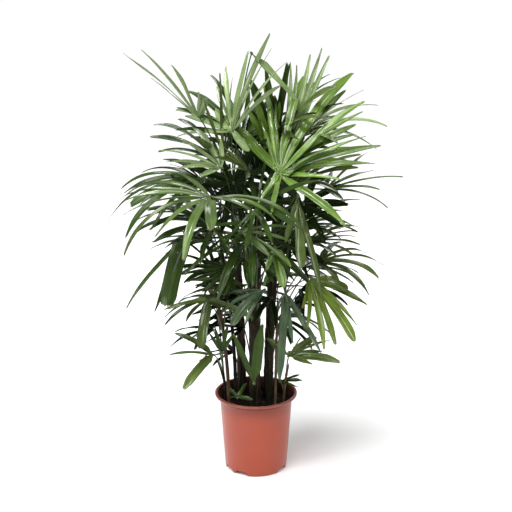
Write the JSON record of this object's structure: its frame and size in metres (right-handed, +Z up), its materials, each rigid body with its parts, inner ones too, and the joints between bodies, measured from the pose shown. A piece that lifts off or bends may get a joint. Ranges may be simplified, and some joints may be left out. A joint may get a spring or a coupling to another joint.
{
  "type": "lady palm in a nursery pot",
  "caption": "Potted lady palm: a clump of fibrous canes carrying fan-shaped fronds with deeply cut straps, in a round tapered plastic nursery pot.",
  "frame": {"origin": "centre of the pot's flat underside, where it stands on the floor", "axes": "+Z up along the pot's axis, +X to the right and -Y towards the side that the fullest fronds face"},
  "size_m": [0.8071, 0.8293, 1.2602],
  "materials": {
    "pot": "satin moulded terracotta-coloured plastic",
    "soil": "dark moist potting soil, crumbly",
    "cane": "slender cane wrapped in dark brown fibrous sheaths",
    "frond": "semi-gloss green palm leaf with fine lengthwise ribs"
  },
  "bodies": {
    "root": {"cane_back": "cane", "cane_back_left": "cane", "cane_back_right": "cane", "cane_black": "cane", "cane_front": "cane", "cane_low_centre": "cane", "cane_low_left": "cane", "cane_low_right": "cane", "cane_right": "cane", "cane_rust": "cane", "frond_bright_centre": "frond", "frond_bright_low_right": "frond", "frond_crown_right": "frond", "frond_crown_right_back": "frond", "frond_crown_top": "frond", "frond_edge_low_right": "frond", "frond_edge_right": "frond", "frond_edge_upper_right": "frond", "frond_fan_left": "frond", "frond_fan_left_back": "frond", "frond_fan_low_left": "frond", "frond_fan_upper_left": "frond", "frond_filling_1": "frond", "frond_filling_10": "frond", "frond_filling_11": "frond", "frond_filling_12": "frond", "frond_filling_13": "frond", "frond_filling_14": "frond", "frond_filling_15": "frond", "frond_filling_16": "frond", "frond_filling_17": "frond", "frond_filling_18": "frond", "frond_filling_19": "frond", "frond_filling_2": "frond", "frond_filling_20": "frond", "frond_filling_3": "frond", "frond_filling_4": "frond", "frond_filling_5": "frond", "frond_filling_6": "frond", "frond_filling_7": "frond", "frond_filling_8": "frond", "frond_filling_9": "frond", "frond_hang_blue_right": "frond", "frond_hang_dark_centre": "frond", "frond_hang_left": "frond", "frond_hang_long_right": "frond", "frond_hang_low_left": "frond", "frond_lattice_centre": "frond", "frond_light_centre": "frond", "frond_low_left": "frond", "frond_low_right": "frond", "frond_seedling_left": "frond", "frond_seedling_right": "frond", "frond_shade_left": "frond", "frond_spray_upper_left": "frond", "frond_sprout_left": "frond", "frond_young_centre": "frond", "pot": "pot", "soil": "soil"}
  },
  "joints": []
}
